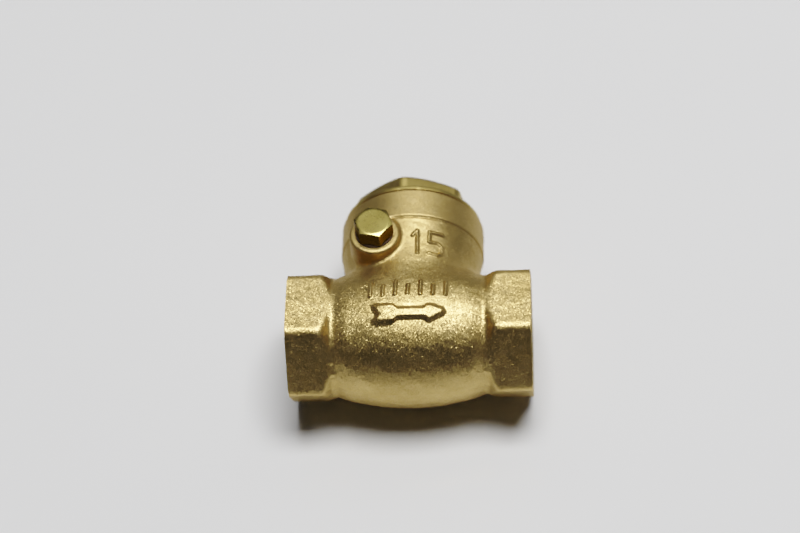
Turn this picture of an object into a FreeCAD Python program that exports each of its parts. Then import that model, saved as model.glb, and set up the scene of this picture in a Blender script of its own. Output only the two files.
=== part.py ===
import FreeCAD, Part
import os
import math

# Half-inch swing check valve, cast brass, upright, with its disc closed on the seat.
# +X is the direction of flow, +Z points up the bonnet neck, -Y is the front: the side
# that carries the hinge-pin plug and the cast flow arrow.
# The origin is the point where the flow axis and the neck axis cross. All in mm.
# Name endings: _r radius, _t thickness, _flats width across flats,
# _x, _y, _z a place along that axis. Cutters overshoot the faces they open by OVER.

Vector = FreeCAD.Vector
X, Y, Z = Vector(1, 0, 0), Vector(0, 1, 0), Vector(0, 0, 1)
OVER = 1.0

# ---------------------------------------------------------------- body, outside
length = 50.0                       # end to end
half_length = length / 2
hex_flats = 25.0                    # spanner flats of both ends
hex_edge_r = 1.65                   # cast rounding of the six edges
hex_corner_x = 17.8                 # inner end of the full corners
hex_limit_r = 14.18 + 0.3           # just clear of the rounded corners
hex_root_x = 10.0                   # where the prism starts, inside the barrel
end_chamfer = 0.5
waist_r, waist_x = 12.15, 15.9      # barrel right behind the hexagons

# (x, radius) of the barrel: its bulge, then one end from the hexagon inwards
belly_arc = [(-13.0, 13.1), (0, 14.86), (13.0, 13.1)]
barrel_end = [(waist_x + 1.6, waist_r - 0.05), (waist_x, waist_r), (15.3, 12.3)]

neck_r = 15.05                      # turned collar at the top of the neck
collar_z = 20.0
rim_z = 27.05
rim_bevel = 0.3
# (radius, z) of the cast neck below the collar
neck_side = [(13.7, 0.0), (13.8, 13.0), (14.2, 16.0), (14.6, 18.0), (14.78, 19.7)]

pin_x, pin_z = -6.95, 15.44         # hinge axis, parallel to Y
boss_r, boss_y, boss_len = 5.3, -15.33, 7.0               # front boss
rear_boss_r, rear_boss_y, rear_boss_len = 4.2, 13.75, 6.0
boss_edge_r = 0.6

# (x, z) outline of the cast flow arrow, pointing downstream
arrow_outline = [
    (-7.0, -3.4), (-6.7, -2.5), (-6.0, -2.3), (-2.75, -2.6), (-2.0, -3.3), (3.5, -3.3),
    (4.0, -2.7), (5.0, -2.7), (7.4, -3.4), (7.8, -4.1), (7.3, -4.7), (4.6, -6.2),
    (3.9, -5.9), (3.6, -5.5), (-2.0, -5.45), (-2.7, -6.2), (-3.6, -6.4), (-6.3, -6.3),
    (-7.0, -5.8), (-6.9, -5.2), (-5.9, -4.5)]
arrow_relief = 0.6
arrow_root_y, arrow_depth = -10.0, 8.0

# ---------------------------------------------------------------- body, inside
thread_crest_r = 9.316              # G 1/2 internal thread, minor radius
socket_x = half_length - 11.0       # bottom of the sockets, distance from the origin
mouth_r = 10.7
port_r = 6.5                        # bore through the seat
seat_x, seat_lip_r = -8.0, 7.7      # sealing face
wall_x = -9.6                       # downstream face of the seat wall
outlet_port_r = 8.2
# (x, radius) of the cored chamber round the disc
chamber_start = (wall_x, 9.4)
chamber_arc = [(-8.0, 10.7), (1.5, 12.15), (10.6, 10.7)]
chamber_outlet = [(12.6, 9.2), (13.0, outlet_port_r), (socket_x + 0.1, outlet_port_r)]
pocket_r, pocket_x, pocket_z = 9.4, 2.2, 10.5   # upright part of the core over the disc
neck_bore_r, neck_bore_z = 11.8, 9.6
bonnet_thread_r = 13.0              # M26 x 1.5
bonnet_thread_z = 19.5
lug_r, lug_y, lug_len = 3.3, 7.1, 8.0           # lugs either side of the hanger arm
pin_hole_r = 1.53
pin_hole_y0, pin_hole_y1 = -12.5, 12.35         # blind at the rear
plug_bore_r, plug_bore_y = 3.0, -12.0

# ---------------------------------------------------------------- bonnet
gasket_t, gasket_inner_r, gasket_outer_r = 0.4, 13.15, 14.45
flange_r, flange_t = 14.65, 1.05
flange_z0 = rim_z + gasket_t
flange_z1 = flange_z0 + flange_t
cap_flats, cap_hex_h = 23.0, 4.9
cap_edge_r = 1.4
cap_turn = -6.0                     # degrees from the front to the nearest corner
cap_top_z = flange_z1 + cap_hex_h
cap_shank_r, cap_shank_z, cap_shank_bevel = 12.92, 20.6, 0.7
cap_relief_r, cap_relief_z = 12.05, 26.1
cap_hollow_r, cap_hollow_z, cap_hollow_bevel = 9.9, 26.6, 2.5

# ---------------------------------------------------------------- hinge pin and plug
pin_r, pin_y0, pin_y1, pin_chamfer = 1.5, -11.85, 12.1, 0.3
plug_seal_t, plug_seal_outer_r, plug_seal_inner_r = 0.4, 4.0, 3.02
plug_seal_y = boss_y - plug_seal_t  # front face of the seal
plug_shank_r, plug_shank_y, plug_chamfer = 2.95, -12.15, 0.45
plug_flats, plug_head_h = 7.2, 3.5
plug_head_y = plug_seal_y - plug_head_h
plug_face_r = 3.24                  # flat circle on the front of the head
plug_turn = 19.4                    # degrees from the top to the first corner

# ---------------------------------------------------------------- disc and hanger arm
disc_r = 8.5
disc_lip_x, disc_back_x = -7.3, -5.2            # upstream lip, downstream face
disc_bevel = 0.5
recess_r, recess_x = 7.95, -6.5                 # recess that holds the seal
stud_r, stud_x1, stud_bevel = 2.0, -0.25, 0.4
seal_r, seal_hole_r = 7.9, 1.7
plate_r, plate_t, plate_hole_r, plate_chamfer = 4.6, 0.8, 1.6, 0.3
plate_x = seat_x - plate_t
screw_head_r, screw_head_t, screw_head_edge_r = 2.6, 1.5, 0.5
screw_r, screw_end_x = 1.45, -4.8
screw_hole_r, screw_hole_x = 1.5, screw_end_x + 0.7
slot_w, slot_depth, slot_len = 0.7, 0.7, 8.0

arm_play = 0.1                      # gap on both faces of the arm
arm_t, arm_half_w = 1.6, 2.6
arm_x0 = disc_back_x + arm_play
arm_x1 = arm_x0 + arm_t
arm_hub_r, arm_eye_r, arm_hub_y = 2.6, 1.55, 6.4
arm_ring_r, arm_hole_r = 3.6, 2.09
strap_z = 9.4

washer_r, washer_hole_r, washer_t = 3.4, 2.05, 0.5
washer_x = arm_x1 + arm_play
nut_flats, nut_t, nut_hole_r, nut_bevel = 6.0, 2.1, 2.02, 0.45
nut_x0 = washer_x + washer_t
nut_x1 = nut_x0 + nut_t


# ---------------------------------------------------------------- helpers
def cylinder_x(radius, x0, x1):
    """Cylinder on the flow axis."""
    return Part.makeCylinder(radius, x1 - x0, Vector(x0, 0, 0), X)


def cylinder_z(radius, z0, z1, x=0):
    """Upright cylinder in the plane y = 0."""
    return Part.makeCylinder(radius, z1 - z0, Vector(x, 0, z0), Z)


def cylinder_pin(radius, y0, y1):
    """Cylinder on the hinge axis."""
    return Part.makeCylinder(radius, y1 - y0, Vector(pin_x, y0, pin_z), Y)


def closed_face(points):
    return Part.Face(Part.makePolygon(points + [points[0]]))


def revolve_x(outline):
    """Solid about X from a closed outline of (x, radius) corners."""
    return closed_face([Vector(x, 0, r) for x, r in outline]).revolve(Vector(), X, 360)


def revolve_z(outline):
    """Solid about Z from a closed outline of (radius, z) corners."""
    return closed_face([Vector(r, 0, z) for r, z in outline]).revolve(Vector(), Z, 360)


def revolve_x_arc(before, arc, after):
    """Solid about X under lines, an arc through three points, and lines; all (x, radius)."""
    lead = [Vector(x, 0, r) for x, r in before + arc[:1]]
    tail = [Vector(x, 0, r) for x, r in arc[2:] + after]
    tail += [Vector(tail[-1].x, 0, 0), Vector(lead[0].x, 0, 0), lead[0]]
    middle = Vector(arc[1][0], 0, arc[1][1])
    edges = [Part.makeLine(a, b) for a, b in zip(lead, lead[1:])]
    edges.append(Part.Arc(lead[-1], middle, tail[0]).toShape())
    edges += [Part.makeLine(a, b) for a, b in zip(tail, tail[1:])]
    return Part.Face(Part.Wire(edges)).revolve(Vector(), X, 360)


def corner_radius(flats):
    return flats / math.sqrt(3)


def hexagon(flats, base, axis, height, first_corner, up):
    """Hexagonal prism; first_corner is degrees from `up` about the axis."""
    radius = corner_radius(flats)
    side = axis.cross(up)
    points = []
    for k in range(6):
        angle = math.radians(first_corner + 60 * k)
        points.append(base + up * (radius * math.cos(angle)) + side * (radius * math.sin(angle)))
    return closed_face(points).extrude(axis * height)


def fillet_parallel(solid, axis, radius):
    """Round every straight edge that runs along the axis."""
    edges = []
    for edge in solid.Edges:
        if edge.Curve.TypeId == "Part::GeomLine":
            run = edge.Vertexes[1].Point - edge.Vertexes[0].Point
            if run.Length > 0.5 and abs(abs(run.normalize().dot(axis)) - 1) < 1e-6:
                edges.append(edge)
    return solid.makeFillet(radius, edges)


def circles(solid):
    return [edge for edge in solid.Edges if edge.Curve.TypeId == "Part::GeomCircle"]


def circles_at(solid, centre):
    """The circular edges centred on a point."""
    return [edge for edge in circles(solid) if (edge.Curve.Center - centre).Length < 1e-3]


def save(name, shape):
    shape = shape.removeSplitter()
    if shape.ShapeType == "Compound" and len(shape.Solids) == 1:
        shape = shape.Solids[0]
    assert len(shape.Solids) == 1 and shape.isValid(), name
    shape.exportStep("parts/" + name + ".step")


# ---------------------------------------------------------------- valve body
def end_hexagon(sign):
    """Spanner hexagon of the inlet (-1) or outlet (+1), coned down to the waist."""
    prism = hexagon(hex_flats, Vector(sign * hex_root_x, 0, 0), X * sign,
                    half_length - hex_root_x, 0, Z)
    prism = fillet_parallel(prism, X, hex_edge_r)
    cone_x = hex_corner_x - (hex_limit_r - waist_r)
    envelope = [(cone_x, 0), (cone_x, waist_r), (hex_corner_x + 0.3, hex_limit_r),
                (half_length - end_chamfer + 0.3, hex_limit_r),
                (half_length, hex_limit_r - end_chamfer), (half_length, 0)]
    return prism.common(revolve_x([(sign * x, r) for x, r in envelope]))


def pin_bosses():
    """Round bosses at both ends of the hinge axis, outer edges rounded."""
    front = Part.makeCylinder(boss_r, boss_len, Vector(pin_x, boss_y + boss_len, pin_z), Y * -1)
    front = front.makeFillet(boss_edge_r, circles_at(front, Vector(pin_x, boss_y, pin_z)))
    rear = cylinder_pin(rear_boss_r, rear_boss_y - rear_boss_len, rear_boss_y)
    rear = rear.makeFillet(boss_edge_r, circles_at(rear, Vector(pin_x, rear_boss_y, pin_z)))
    return [front, rear]


def flow_arrow():
    """Raised arrow on the front, following the barrel."""
    outline = closed_face([Vector(x, arrow_root_y, z) for x, z in arrow_outline])
    skin = revolve_x_arc([], [(x, r + arrow_relief) for x, r in belly_arc], [])
    return outline.extrude(Y * -arrow_depth).common(skin)


def body_outside():
    barrel = revolve_x_arc([(-x, r) for x, r in barrel_end], belly_arc, barrel_end[::-1])
    neck = revolve_z([(0, neck_side[0][1])] + neck_side + [
        (neck_r - 0.08, collar_z), (neck_r, collar_z + rim_bevel),
        (neck_r, rim_z - rim_bevel), (neck_r - rim_bevel, rim_z), (0, rim_z)])
    outer = barrel.fuse(neck)
    outer = outer.fuse([end_hexagon(-1), end_hexagon(1)])
    outer = outer.fuse(pin_bosses())
    return outer.fuse(flow_arrow())


def socket(sign):
    """Threaded end socket at minor diameter, with a 45 degree mouth."""
    outline = [(half_length + 0.5, 0), (half_length + 0.5, mouth_r + 0.5),
               (half_length, mouth_r),
               (half_length - (mouth_r - thread_crest_r), thread_crest_r),
               (socket_x, thread_crest_r), (socket_x, 0)]
    return revolve_x([(sign * x, r) for x, r in outline])


def body_cavity():
    chamber = revolve_x_arc([chamber_start], chamber_arc, chamber_outlet)
    pocket = cylinder_z(pocket_r, 0, pocket_z, pocket_x)
    neck_bore = cylinder_z(neck_bore_r, neck_bore_z, bonnet_thread_z + 0.5)
    bonnet_bore = revolve_z([(0, bonnet_thread_z), (bonnet_thread_r, bonnet_thread_z),
                             (bonnet_thread_r, rim_z - 0.01),
                             (bonnet_thread_r + 0.1, rim_z + 0.5), (0, rim_z + 0.5)])
    cavity = chamber.fuse([pocket, neck_bore])
    # metal left standing in the cavity: the two lugs and the seat lip
    lugs = cylinder_pin(lug_r, -lug_y - lug_len, -lug_y).fuse(
        cylinder_pin(lug_r, lug_y, lug_y + lug_len))
    cavity = cavity.cut(lugs).cut(cylinder_x(seat_lip_r, wall_x - 0.5, seat_x))
    cavity = cavity.fuse(bonnet_bore)
    port = cylinder_x(port_r, -socket_x - 0.5, seat_x + 0.5)
    return cavity.fuse([socket(-1), socket(1), port])


def valve_body():
    body = body_outside().cut(body_cavity())
    body = body.cut(cylinder_pin(pin_hole_r, pin_hole_y0, pin_hole_y1))
    return body.cut(cylinder_pin(plug_bore_r, boss_y - OVER, plug_bore_y))


# ---------------------------------------------------------------- bonnet
def bonnet_gasket():
    return cylinder_z(gasket_outer_r, rim_z, flange_z0).cut(
        cylinder_z(gasket_inner_r, rim_z - OVER, flange_z0 + OVER))


def bonnet_cap():
    """Hollow screwed shank, flange, and a hexagon with a coned top."""
    cap = revolve_z([
        (0, cap_shank_z), (cap_shank_r - cap_shank_bevel, cap_shank_z),
        (cap_shank_r, cap_shank_z + cap_shank_bevel), (cap_shank_r, cap_relief_z - 0.5),
        (cap_relief_r, cap_relief_z + 0.2), (cap_relief_r, flange_z0),
        (flange_r - 0.1, flange_z0), (flange_r, flange_z0 + 0.1),
        (flange_r, flange_z1 - 0.35), (flange_r - 0.35, flange_z1), (0, flange_z1)])
    root_z = flange_z1 - 0.5
    prism = hexagon(cap_flats, Vector(0, 0, root_z), Z, cap_top_z - root_z, cap_turn, Y * -1)
    prism = fillet_parallel(prism, Z, cap_edge_r)
    top_cone = revolve_z([(0, flange_z1 - 1), (15, flange_z1 - 1), (15, cap_top_z - 1.75),
                          (cap_flats / 2 - 0.35, cap_top_z), (0, cap_top_z)])
    cap = cap.fuse(prism.common(top_cone))
    hollow = revolve_z([(0, cap_shank_z - OVER), (cap_hollow_r, cap_shank_z - OVER),
                        (cap_hollow_r, cap_hollow_z - cap_hollow_bevel),
                        (cap_hollow_r - cap_hollow_bevel, cap_hollow_z),
                        (0, cap_hollow_z + 0.6)])
    return cap.cut(hollow)


# ---------------------------------------------------------------- hinge pin and plug
def hinge_pin():
    pin = cylinder_pin(pin_r, pin_y0, pin_y1)
    return pin.makeChamfer(pin_chamfer, circles(pin))


def plug_seal():
    return cylinder_pin(plug_seal_outer_r, plug_seal_y, boss_y).cut(
        cylinder_pin(plug_seal_inner_r, plug_seal_y - OVER, boss_y + OVER))


def pin_plug():
    """Hexagon head with coned corners, and the shank behind it."""
    head = hexagon(plug_flats, Vector(pin_x, plug_seal_y, pin_z), Y * -1, plug_head_h,
                   plug_turn, Z)
    corner_r = corner_radius(plug_flats)
    outline = [(0, plug_seal_y + 1), (corner_r + 1, plug_seal_y + 1),
               (corner_r + 1, plug_head_y + 1.62), (corner_r, plug_head_y + 1.0),
               (plug_face_r, plug_head_y), (0, plug_head_y)]      # (radius, y)
    envelope = closed_face([Vector(pin_x + r, y, pin_z) for r, y in outline])
    head = head.common(envelope.revolve(Vector(pin_x, 0, pin_z), Y, 360))
    shank = cylinder_pin(plug_shank_r, plug_seal_y, plug_shank_y)
    shank = shank.makeChamfer(plug_chamfer,
                              circles_at(shank, Vector(pin_x, plug_shank_y, pin_z)))
    return head.fuse(shank)


# ---------------------------------------------------------------- hanger arm
def hanger_arm():
    """Hub on the pin, strap down to a ring round the disc stud, and the link between."""
    hub = cylinder_pin(arm_hub_r, -arm_hub_y, arm_hub_y)
    ring = cylinder_x(arm_ring_r, arm_x0, arm_x1)
    strap = Part.makeBox(arm_t, 2 * arm_half_w, strap_z, Vector(arm_x0, -arm_half_w, 0))
    link_outline = [(pin_x - 0.9, pin_z - 1.2), (arm_x0, 9.0), (arm_x0, 7.0),
                    (arm_x1, 7.0), (arm_x1, 9.8), (pin_x + 2.0, pin_z - 0.6)]   # (x, z)
    link = closed_face([Vector(x, -arm_half_w, z) for x, z in link_outline])
    arm = hub.fuse([ring, strap, link.extrude(Y * (2 * arm_half_w))])
    arm = arm.cut(cylinder_pin(arm_eye_r, -arm_hub_y - OVER, arm_hub_y + OVER))
    return arm.cut(cylinder_x(arm_hole_r, arm_x0 - OVER, arm_x1 + OVER))


# ---------------------------------------------------------------- disc and what it carries
def disc():
    """Disc with the seal recess upstream and the stud downstream."""
    solid = revolve_x([
        (recess_x, 0), (recess_x, recess_r), (disc_lip_x, recess_r),
        (disc_lip_x, disc_r - 0.2), (disc_lip_x + 0.2, disc_r),
        (disc_back_x - disc_bevel, disc_r), (disc_back_x, disc_r - disc_bevel),
        (disc_back_x, stud_r), (stud_x1 - stud_bevel, stud_r),
        (stud_x1, stud_r - stud_bevel), (stud_x1, 0)])
    return solid.cut(cylinder_x(screw_hole_r, recess_x - OVER, screw_hole_x))


def disc_seal():
    return cylinder_x(seal_r, seat_x, recess_x).cut(
        cylinder_x(seal_hole_r, seat_x - OVER, recess_x + OVER))


def seal_plate():
    plate = cylinder_x(plate_r, plate_x, seat_x)
    plate = plate.makeChamfer(plate_chamfer, circles_at(plate, Vector(plate_x, 0, 0)))
    return plate.cut(cylinder_x(plate_hole_r, plate_x - OVER, seat_x + OVER))


def seal_screw():
    """Slotted screw, head upstream."""
    head_x = plate_x - screw_head_t
    screw = cylinder_x(screw_head_r, head_x, plate_x)
    screw = screw.makeFillet(screw_head_edge_r, circles_at(screw, Vector(head_x, 0, 0)))
    screw = screw.fuse(cylinder_x(screw_r, plate_x, screw_end_x))
    return screw.cut(Part.makeBox(slot_depth + 0.1, slot_len, slot_w,
                                  Vector(head_x - 0.1, -slot_len / 2, -slot_w / 2)))


def disc_washer():
    return cylinder_x(washer_r, washer_x, nut_x0).cut(
        cylinder_x(washer_hole_r, washer_x - OVER, nut_x0 + OVER))


def disc_nut():
    nut = hexagon(nut_flats, Vector(nut_x0, 0, 0), X, nut_t, 30, Z)
    limit_r = corner_radius(nut_flats) + 0.1
    nut = nut.common(revolve_x([(nut_x0, 0), (nut_x0, limit_r), (nut_x1 - nut_bevel, limit_r),
                                (nut_x1, nut_flats / 2 - 0.1), (nut_x1, 0)]))
    return nut.cut(cylinder_x(nut_hole_r, nut_x0 - OVER, nut_x1 + OVER))


os.makedirs("parts", exist_ok=True)
for build in (valve_body, bonnet_gasket, bonnet_cap, hinge_pin, plug_seal, pin_plug,
              hanger_arm, disc, disc_seal, seal_plate, seal_screw, disc_washer, disc_nut):
    save(build.__name__, build())
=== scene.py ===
import math
import bpy
import bmesh
import numpy as np
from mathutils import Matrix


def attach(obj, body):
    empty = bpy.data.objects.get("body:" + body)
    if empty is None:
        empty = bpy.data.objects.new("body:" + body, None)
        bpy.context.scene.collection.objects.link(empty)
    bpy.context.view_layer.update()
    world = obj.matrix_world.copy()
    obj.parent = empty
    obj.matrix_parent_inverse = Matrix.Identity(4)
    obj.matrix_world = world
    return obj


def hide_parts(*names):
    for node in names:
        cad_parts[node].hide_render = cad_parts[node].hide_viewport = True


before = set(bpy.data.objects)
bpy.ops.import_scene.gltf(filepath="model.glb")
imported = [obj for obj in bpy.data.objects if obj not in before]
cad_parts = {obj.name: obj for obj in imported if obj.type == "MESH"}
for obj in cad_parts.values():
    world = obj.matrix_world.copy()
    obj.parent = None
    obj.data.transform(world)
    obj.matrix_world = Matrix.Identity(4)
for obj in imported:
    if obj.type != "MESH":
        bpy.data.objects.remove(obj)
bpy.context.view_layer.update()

MM = 0.001

# ------------------------------------------------------------------ sizes (mm), as in the CAD model
HALF = 25.0
HEX_AF, HEX_R, HEX_CX, HEX_APEX = 25.0, 2.0, 17.8, 14.18
CREST, ROOT, PITCH, DEPTH, MOUTH = 9.316, 10.478, 1.814, 11.0, 10.75
PORT_R, SEAT_X, LIP_R, WALL_X, OUT_R = 6.5, -8.0, 7.7, -9.6, 8.2
NECK_R, COLLAR_Z, RIM_Z = 15.05, 20.0, 27.05
B_CREST, B_ROOT, B_PITCH = 12.19, 13.0, 1.5
PIN_X, PIN_Z = -6.95, 15.44
BOSS_R, BOSS_Y = 5.3, -15.33
CAP_FL0, CAP_FL1, CAP_TOP = 27.45, 28.5, 33.65
CAP_AF, CAP_TURN = 22.4, -7.3
FLANGE_R = 14.65


# ------------------------------------------------------------------ distance fields
def smin(a, b, k):
    h = np.clip(0.5 + 0.5 * (b - a) / k, 0, 1)
    return b + (a - b) * h - k * h * (1 - h)


def smax(a, b, k):
    return -smin(-a, -b, k)


def sstep(t):
    t = np.clip(t, 0, 1)
    return t * t * (3 - 2 * t)


def hexagon(px, py, r):
    """Exact distance to a regular hexagon with flats at +-py and corners on px."""
    kx, ky, kz = -0.8660254, 0.5, 0.57735
    px, py = np.abs(px), np.abs(py)
    d = 2 * np.minimum(kx * px + ky * py, 0)
    px, py = px - d * kx, py - d * ky
    px, py = px - np.clip(px, -kz * r, kz * r), py - r
    return np.hypot(px, py) * np.sign(py)


def segment(x, z, a, b):
    ax, az = a
    bx, bz = b
    vx, vz = bx - ax, bz - az
    t = np.clip(((x - ax) * vx + (z - az) * vz) / (vx * vx + vz * vz), 0, 1)
    return np.hypot(x - ax - t * vx, z - az - t * vz)


def polygon(x, z, pts):
    """Signed distance to a closed polygon in 2D."""
    d = np.full(np.shape(x), 1e9)
    inside = np.zeros(np.shape(x), bool)
    for (ax, az), (bx, bz) in zip(pts, pts[1:] + pts[:1]):
        d = np.minimum(d, segment(x, z, (ax, az), (bx, bz)))
        if az != bz:
            hit = ((az > z) != (bz > z)) & (x < (bx - ax) * (z - az) / (bz - az) + ax)
            inside ^= hit
    return np.where(inside, -d, d)


def wobble(x, y, z, scale, seed):
    """Smooth seeded unevenness of a casting, about -1 to 1."""
    rng = np.random.default_rng(seed)
    out = 0
    for _ in range(7):
        k = rng.normal(size=3)
        k *= rng.uniform(0.6, 1.7) / np.linalg.norm(k) * 2 * math.pi / scale
        out = out + np.sin(k[0] * x + k[1] * y + k[2] * z + rng.uniform(0, 6.28))
    return out / 4.0


# ------------------------------------------------------------------ surface nets
def nets(f, lo, hi, h):
    lo = np.array(lo, float)
    blocks = np.ceil((np.array(hi, float) - lo) / (4 * h)).astype(int) + 1
    n = blocks * 4
    ax = [lo[i] + h * np.arange(n[i]) for i in range(3)]
    mid = np.meshgrid(*[lo[i] + h * (4 * np.arange(blocks[i]) + 1.5) for i in range(3)], indexing="ij")
    rough = f(*mid)
    v = np.repeat(np.repeat(np.repeat(rough, 4, 0), 4, 1), 4, 2).astype(np.float32)
    near = np.argwhere(np.abs(rough) < 3.6 * h + 0.9)     # blocks the surface may pass through
    o = np.stack(np.meshgrid(*[np.arange(4)] * 3, indexing="ij"), -1).reshape(1, 64, 3)
    for i0 in range(0, len(near), 4000):
        p = (near[i0:i0 + 4000, None, :] * 4 + o).reshape(-1, 3)
        v[tuple(p.T)] = f(*(lo + h * p).T)
    for _ in range(6):
        cell, verts, quads = net_faces(v)
        e = np.sort(np.concatenate([quads[:, [i, (i + 1) % 4]] for i in range(4)]), 1)
        key, first, times = np.unique(e[:, 0] * (quads.max() + 1) + e[:, 1], return_index=True, return_counts=True)
        bad = e[first[times != 2]]
        if not len(bad):
            break
        # a pinched pair of cells: fill the corners they share, so the surface passes on one side
        for p, q in zip(cell[bad[:, 0]], cell[bad[:, 1]]):
            c0, c1 = np.maximum(p, q), np.minimum(p, q) + 1
            box = tuple(slice(i, j + 1) for i, j in zip(c0, c1))
            v[box] = np.minimum(v[box], -1e-3)
    return lo + h * verts, quads


def net_faces(v):
    n = np.array(v.shape)
    s = v < 0
    cnt = np.zeros(n - 1, np.int8)
    for dx in (0, 1):
        for dy in (0, 1):
            for dz in (0, 1):
                cnt += s[dx:n[0] - 1 + dx, dy:n[1] - 1 + dy, dz:n[2] - 1 + dz]
    mixed = (cnt > 0) & (cnt < 8)
    cell = np.argwhere(mixed)
    index = np.full(n - 1, -1, np.int64)
    index[mixed] = np.arange(len(cell))
    acc = np.zeros((len(cell), 3))
    w = np.zeros(len(cell))
    for a in range(3):
        b, c = [k for k in range(3) if k != a]
        for ob in (0, 1):
            for oc in (0, 1):
                p = cell.copy()
                p[:, b] += ob
                p[:, c] += oc
                q = p.copy()
                q[:, a] += 1
                vp, vq = v[tuple(p.T)], v[tuple(q.T)]
                m = (vp < 0) != (vq < 0)
                t = np.where(m, vp / np.where(m, vp - vq, 1), 0)
                pt = p.astype(float)
                pt[:, a] += t
                acc[m] += pt[m]
                w[m] += 1
    verts = acc / w[:, None]
    faces = []
    for a in range(3):
        b, c = (a + 1) % 3, (a + 2) % 3
        sl0 = [slice(None)] * 3
        sl1 = [slice(None)] * 3
        sl0[a], sl1[a] = slice(0, n[a] - 1), slice(1, n[a])
        s0, s1 = s[tuple(sl0)], s[tuple(sl1)]
        e = np.argwhere(s0 != s1)
        e = e[(e[:, b] > 0) & (e[:, c] > 0) & (e[:, b] < n[b] - 1) & (e[:, c] < n[c] - 1)]
        inside = s0[tuple(e.T)]
        quad = []
        for ob, oc in ((0, 0), (-1, 0), (-1, -1), (0, -1)):
            p = e.copy()
            p[:, b] += ob
            p[:, c] += oc
            quad.append(index[tuple(p.T)])
        quad = np.stack(quad, 1)
        quad[~inside] = quad[~inside][:, ::-1]
        faces.append(quad)
    return cell, verts, np.concatenate(faces)


def gradient(f, p, e=0.01):
    g = np.empty_like(p)
    for a in range(3):
        d = np.zeros(3)
        d[a] = e
        g[:, a] = (f(*(p + d).T) - f(*(p - d).T)) / (2 * e)
    return g


def settle(f, p, steps=4, cap=0.2):
    for _ in range(steps):
        g = gradient(f, p)
        d = (f(*p.T) / np.maximum((g * g).sum(1), 0.05))[:, None] * g
        p = p - np.clip(d, -cap, cap)
    return p


def mesh_object(name, verts, faces):
    me = bpy.data.meshes.new(name)
    me.from_pydata((np.asarray(verts) * MM).tolist(), [], [list(map(int, q)) for q in faces])
    me.update()
    ob = bpy.data.objects.new(name, me)
    bpy.context.scene.collection.objects.link(ob)
    return ob


def refine(ob, f, pick, rounds=1):
    """Split the faces that pick(centres, round) chooses, and lay the new points on the field."""
    for k in range(rounds):
        bm = bmesh.new()
        bm.from_mesh(ob.data)
        co = np.array([fc.calc_center_median()[:] for fc in bm.faces]) / MM
        chosen = pick(co, k)
        bm.faces.ensure_lookup_table()
        edges = {e for i in np.nonzero(chosen)[0] for e in bm.faces[i].edges}
        bmesh.ops.subdivide_edges(bm, edges=list(edges), cuts=1, use_grid_fill=True)
        bmesh.ops.triangulate(bm, faces=[fc for fc in bm.faces if len(fc.verts) > 4])
        bm.to_mesh(ob.data)
        bm.free()
        p = np.empty(len(ob.data.vertices) * 3)
        ob.data.vertices.foreach_get("co", p)
        p = settle(f, p.reshape(-1, 3) / MM, 3, 0.1)
        ob.data.vertices.foreach_set("co", (p * MM).ravel())
        ob.data.update()
    return ob


def field_mesh(name, f, lo, hi, h):
    v, q = nets(f, lo, hi, h)
    return mesh_object(name, settle(f, v), q)


# ------------------------------------------------------------------ lathe work, with real threads
AXES = {"X": ((1, 0, 0), (0, 1, 0), (0, 0, 1)), "Z": ((0, 0, 1), (1, 0, 0), (0, 1, 0)),
        "Y": ((0, 1, 0), (0, 0, 1), (1, 0, 0))}


def lathe(name, axis, centre, rings, n=128):
    """Closed turned solid. rings: (s, r) with s along the axis, each a number or an array over the angle."""
    a, b, c = (np.array(k, float) for k in AXES[axis])
    th = np.arange(n) * 2 * math.pi / n
    rows = []
    for s, r in rings:
        s, r = np.broadcast_to(s, n), np.broadcast_to(r, n)
        rows.append(np.array(centre) + s[:, None] * a + r[:, None] * (np.cos(th)[:, None] * b + np.sin(th)[:, None] * c))
    m = len(rows)
    verts = np.concatenate(rows)
    j = np.arange(n)
    k = (j + 1) % n
    faces = []
    for i in range(m - 1):
        faces += np.stack([i * n + j, i * n + k, (i + 1) * n + k, (i + 1) * n + j], 1).tolist()
    ends = [np.mean(rows[0], 0), np.mean(rows[-1], 0)]
    verts = np.concatenate([verts, ends])
    p0, p1 = m * n, m * n + 1
    faces += [[p0, int(k[i]), i] for i in range(n)]
    faces += [[p1, (m - 1) * n + i, (m - 1) * n + int(k[i])] for i in range(n)]
    ob = mesh_object(name, verts, faces)
    bm = bmesh.new()
    bm.from_mesh(ob.data)
    bmesh.ops.recalc_face_normals(bm, faces=bm.faces)
    bm.to_mesh(ob.data)
    bm.free()
    return ob


def thread_rings(s0, s1, crest, root, pitch, internal, n=128, per=14, fade=(0.7, 0.7), cone=None):
    """Rings of a right-handed thread. An internal cutter's surface goes out to the root, an external one in to it.
    An external thread stands half a pitch on, so that its crests lie in the grooves of an internal one."""
    th = np.arange(n) / n
    out = []
    m = max(4, int(abs(s1 - s0) / pitch * per))
    for i in range(m + 1):
        s = s0 + (s1 - s0) * i / m
        ph = (s / pitch - th + (0.0 if internal else 0.5)) % 1.0
        tri = 1 - np.abs(ph - 0.5) * 2          # 0 at the crest, 1 in the middle of the groove
        g = np.clip((tri - 0.16) / 0.70, 0, 1)
        g = g * g * (3 - 2 * g) * 0.35 + g * 0.65
        lo, hi = min(s0, s1), max(s0, s1)
        amp = sstep((s - lo) / (fade[0] * pitch)) * sstep((hi - s) / (fade[1] * pitch))
        r = crest + (root - crest) * g * amp
        if cone is not None:
            limit = cone(s)
            r = np.maximum(r, limit) if internal else np.minimum(r, limit)
        out.append((s, r))
    return out


def cut(target, tool, op="DIFFERENCE"):
    m = target.modifiers.new("b", "BOOLEAN")
    m.operation, m.object, m.solver = op, tool, "MANIFOLD"
    dg = bpy.context.evaluated_depsgraph_get()
    me = bpy.data.meshes.new_from_object(target.evaluated_get(dg))
    target.modifiers.clear()
    old = target.data
    target.data = me
    bpy.data.meshes.remove(old)
    bpy.data.objects.remove(tool)
    return target


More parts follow.
